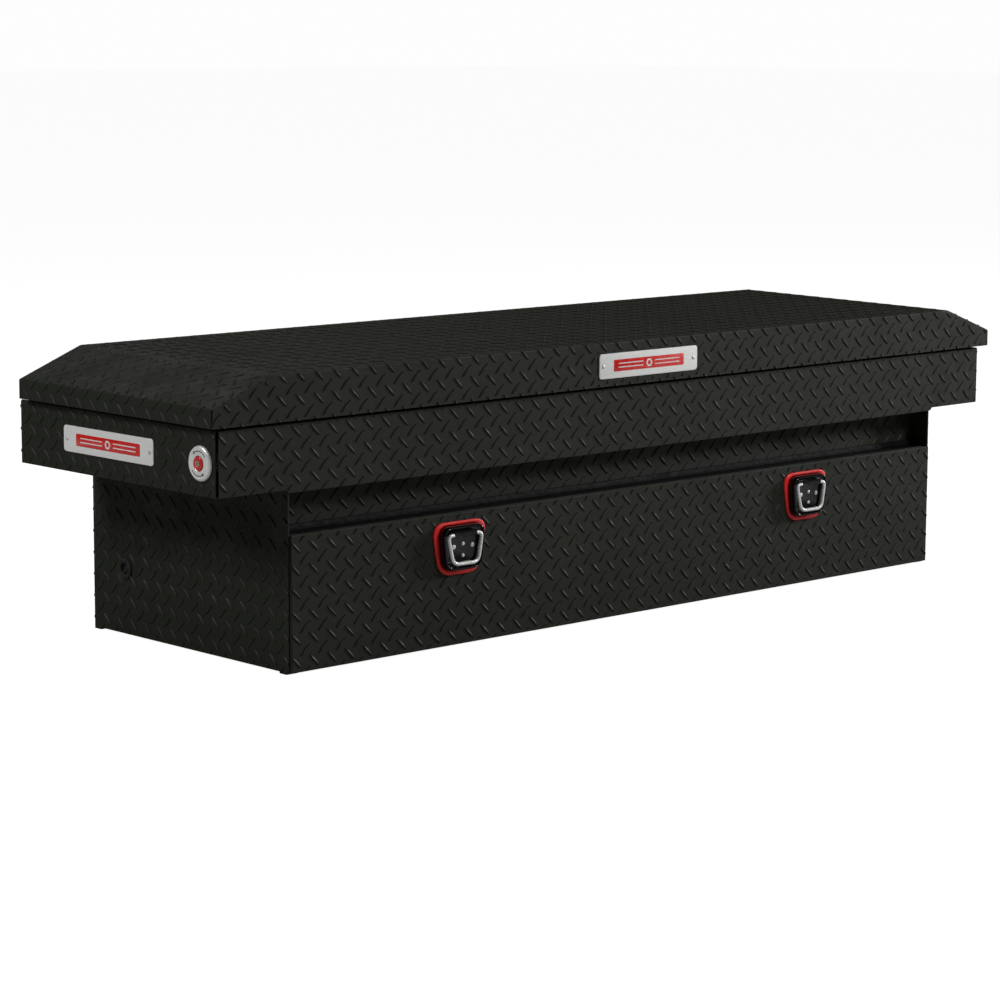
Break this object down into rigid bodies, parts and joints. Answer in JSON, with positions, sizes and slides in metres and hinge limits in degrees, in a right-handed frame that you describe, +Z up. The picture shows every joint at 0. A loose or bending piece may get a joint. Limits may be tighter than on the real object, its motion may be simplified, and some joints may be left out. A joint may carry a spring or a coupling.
{
  "type": "truck tool box",
  "caption": "Crossover truck tool box: a hinged lid with sloped ends, end wings that rest on the bed rails, and a drop-down front door with bail latches.",
  "frame": {"origin": "centre of the bounding box at the level of the foot pads under the lower body", "axes": "+X along the length of the box, -Y out of the drop-down door, +Z up"},
  "size_m": [1.816, 0.5259, 0.4696],
  "materials": {
    "black_tread_plate": "matte textured black powder coat on tread plate",
    "black_sheet_paint": "satin black powder coat",
    "black_rubber": "matte",
    "zinc_steel": "zinc plated",
    "chrome": "polished",
    "red_rubber": "satin",
    "red_plastic": "glossy",
    "lock_cylinder": "nickel plated",
    "gloss_black": "glossy",
    "strut_paint": "semi-gloss black",
    "nameplate_metal": "satin with a red printed border"
  },
  "bodies": {
    "box_body": {"cable_grommet": "black_rubber", "catch_housing_left": "zinc_steel", "catch_housing_right": "zinc_steel", "door_frame": "black_sheet_paint", "door_hinge_pin": "zinc_steel", "door_seal": "black_rubber", "floor_pan": "black_tread_plate", "frame_hinge_leaf": "zinc_steel", "front_ledge": "black_tread_plate", "hinge_leaf_tray": "zinc_steel", "lid_hinge_pin": "zinc_steel", "lock_escutcheon_left": "chrome", "lock_escutcheon_right": "chrome", "lower_left_side": "black_tread_plate", "lower_rear_panel": "black_tread_plate", "lower_right_side": "black_tread_plate", "nameplate_left_end": "nameplate_metal", "nameplate_right_end": "nameplate_metal", "neck_front_panel": "black_tread_plate", "rim_seal": "black_rubber", "strut_base_bracket_left": "zinc_steel", "strut_base_bracket_right": "zinc_steel", "tray_front_panel": "black_tread_plate", "tray_left_end": "black_tread_plate", "tray_rear_panel": "black_tread_plate", "tray_right_end": "black_tread_plate", "wing_floor_left": "black_tread_plate", "wing_floor_right": "black_tread_plate"},
    "lid": {"lid_shell": "black_tread_plate", "lid_front_panel": "black_tread_plate", "lid_rear_panel": "black_tread_plate", "lid_inner_pan": "black_tread_plate", "lid_stiffener": "black_sheet_paint", "hinge_leaf_lid": "zinc_steel", "nameplate_lid": "nameplate_metal", "striker_left": "zinc_steel", "striker_right": "zinc_steel", "strut_lid_bracket_left": "zinc_steel", "strut_lid_bracket_right": "zinc_steel"},
    "door": {"door_panel": "black_tread_plate", "door_inner_pan": "black_sheet_paint", "door_hinge_leaf": "zinc_steel", "latch_gasket_left": "red_rubber", "latch_gasket_right": "red_rubber", "latch_housing_left": "gloss_black", "latch_housing_right": "gloss_black"},
    "latch_bail_left": {"latch_bail_left": "chrome"},
    "slam_bolt_left": {"slam_bolt_left": "zinc_steel"},
    "lock_button_left": {"lock_button_left": "red_plastic"},
    "key_plug_left": {"key_plug_left": "lock_cylinder"},
    "catch_hook_left": {"catch_hook_left": "zinc_steel"},
    "strut_cylinder_left": {"strut_cylinder_left": "strut_paint"},
    "strut_rod_left": {"strut_rod_left": "chrome"},
    "latch_bail_right": {"latch_bail_right": "chrome"},
    "slam_bolt_right": {"slam_bolt_right": "zinc_steel"},
    "lock_button_right": {"lock_button_right": "red_plastic"},
    "key_plug_right": {"key_plug_right": "lock_cylinder"},
    "catch_hook_right": {"catch_hook_right": "zinc_steel"},
    "strut_cylinder_right": {"strut_cylinder_right": "strut_paint"},
    "strut_rod_right": {"strut_rod_right": "chrome"}
  },
  "joints": [
    {"name": "lid_hinge", "type": "hinge", "parent": "box_body", "child": "lid", "pos_m": [0, 0.254, 0.3923], "axis": [-1, 0, 0], "range_deg": [0, 75]},
    {"name": "door_hinge", "type": "hinge", "parent": "box_body", "child": "door", "pos_m": [0, -0.237, 0.0058], "axis": [1, 0, 0], "range_deg": [0, 90]},
    {"name": "bail_pivot_left", "type": "hinge", "parent": "door", "child": "latch_bail_left", "pos_m": [-0.412, -0.258, 0.183], "axis": [-1, 0, 0], "range_deg": [0, 97]},
    {"name": "bolt_slide_left", "type": "slide", "parent": "door", "child": "slam_bolt_left", "axis": [0, 0, -1], "range_m": [0, 0.011], "stiffness_N_per_m": 60, "springref_m": -0.02},
    {"name": "button_push_left", "type": "slide", "parent": "box_body", "child": "lock_button_left", "axis": [1, 0, 0], "range_m": [0, 0.005], "stiffness_N_per_m": 500, "springref_m": -0.002},
    {"name": "key_turn_left", "type": "hinge", "parent": "lock_button_left", "child": "key_plug_left", "pos_m": [-0.9015, -0.2045, 0.3358], "axis": [-1, 0, 0], "range_deg": [0, 90]},
    {"name": "hook_pivot_left", "type": "hinge", "parent": "box_body", "child": "catch_hook_left", "pos_m": [-0.855, -0.192, 0.34], "axis": [-1, 0, 0], "range_deg": [0, 16]},
    {"name": "strut_pivot_left", "type": "hinge", "parent": "box_body", "child": "strut_cylinder_left", "pos_m": [-0.855, 0.226, 0.305], "axis": [-1, 0, 0], "range_deg": [0, 62.99]},
    {"name": "strut_rod_slide_left", "type": "slide", "parent": "strut_cylinder_left", "child": "strut_rod_left", "axis": [0, -0.9412, 0.338], "range_m": [0, 0.09494]},
    {"name": "bail_pivot_right", "type": "hinge", "parent": "door", "child": "latch_bail_right", "pos_m": [0.412, -0.258, 0.183], "axis": [-1, 0, 0], "range_deg": [0, 97]},
    {"name": "bolt_slide_right", "type": "slide", "parent": "door", "child": "slam_bolt_right", "axis": [0, 0, -1], "range_m": [0, 0.011], "stiffness_N_per_m": 60, "springref_m": -0.02},
    {"name": "button_push_right", "type": "slide", "parent": "box_body", "child": "lock_button_right", "axis": [-1, 0, 0], "range_m": [0, 0.005], "stiffness_N_per_m": 500, "springref_m": -0.002},
    {"name": "key_turn_right", "type": "hinge", "parent": "lock_button_right", "child": "key_plug_right", "pos_m": [0.9015, -0.2045, 0.3358], "axis": [1, 0, 0], "range_deg": [0, 90]},
    {"name": "hook_pivot_right", "type": "hinge", "parent": "box_body", "child": "catch_hook_right", "pos_m": [0.855, -0.192, 0.34], "axis": [-1, 0, 0], "range_deg": [0, 16]},
    {"name": "strut_pivot_right", "type": "hinge", "parent": "box_body", "child": "strut_cylinder_right", "pos_m": [0.855, 0.226, 0.305], "axis": [-1, 0, 0], "range_deg": [0, 62.99]},
    {"name": "strut_rod_slide_right", "type": "slide", "parent": "strut_cylinder_right", "child": "strut_rod_right", "axis": [0, -0.9412, 0.338], "range_m": [0, 0.09494]}
  ],
  "couplings": [
    {"joint": "bail_pivot_left", "follows": "bolt_slide_left", "rad_per_m": 150.73},
    {"joint": "hook_pivot_left", "follows": "button_push_left", "rad_per_m": 52.36},
    {"joint": "strut_pivot_left", "follows": "lid_hinge", "ratio": 0.83326},
    {"joint": "strut_rod_slide_left", "follows": "lid_hinge", "m_per_rad": 0.071767},
    {"joint": "bail_pivot_right", "follows": "bolt_slide_right", "rad_per_m": 150.73},
    {"joint": "hook_pivot_right", "follows": "button_push_right", "rad_per_m": 52.36},
    {"joint": "strut_pivot_right", "follows": "lid_hinge", "ratio": 0.83326},
    {"joint": "strut_rod_slide_right", "follows": "lid_hinge", "m_per_rad": 0.071767}
  ]
}
